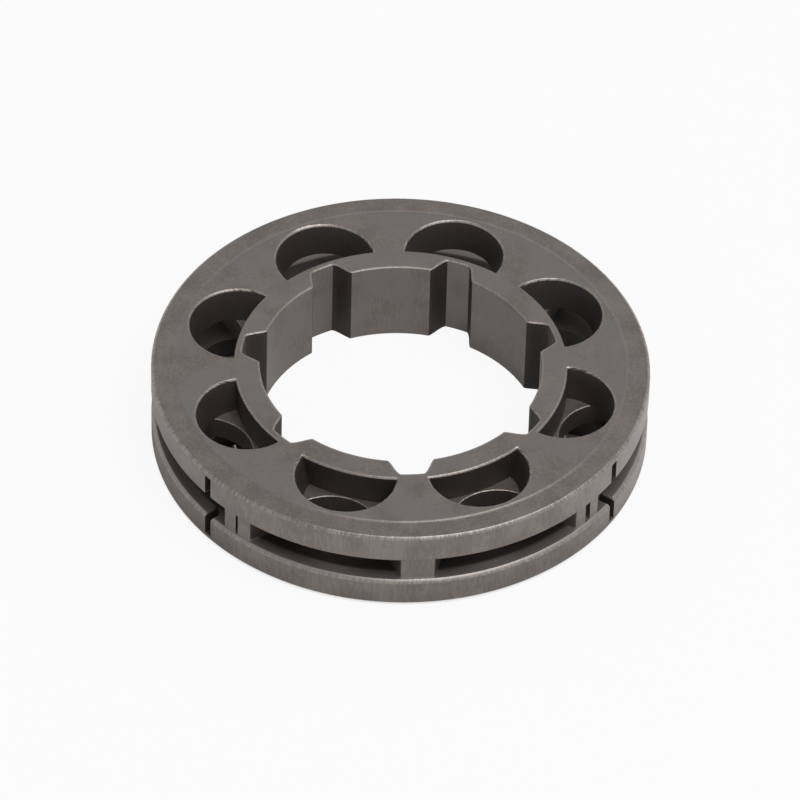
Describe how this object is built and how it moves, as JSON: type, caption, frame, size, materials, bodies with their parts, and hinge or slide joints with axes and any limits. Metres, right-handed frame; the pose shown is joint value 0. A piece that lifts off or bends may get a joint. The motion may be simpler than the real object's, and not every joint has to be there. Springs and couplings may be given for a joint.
{
  "type": "chainsaw rim sprocket",
  "caption": "Steel chainsaw rim sprocket: a flat ring with two rails, teeth in the slot between them, tapered pockets through both faces and a splined bore.",
  "frame": {"origin": "centre of the bore on the lower face", "axes": "+Z along the bore axis towards the upper face; one tooth and one spline groove point to -Y"},
  "size_m": [0.035, 0.035, 0.0065],
  "materials": {
    "sintered_steel": "dark tumbled steel, satin, with brighter worn edges"
  },
  "bodies": {
    "root": {"rim_sprocket": "sintered_steel"}
  },
  "joints": []
}
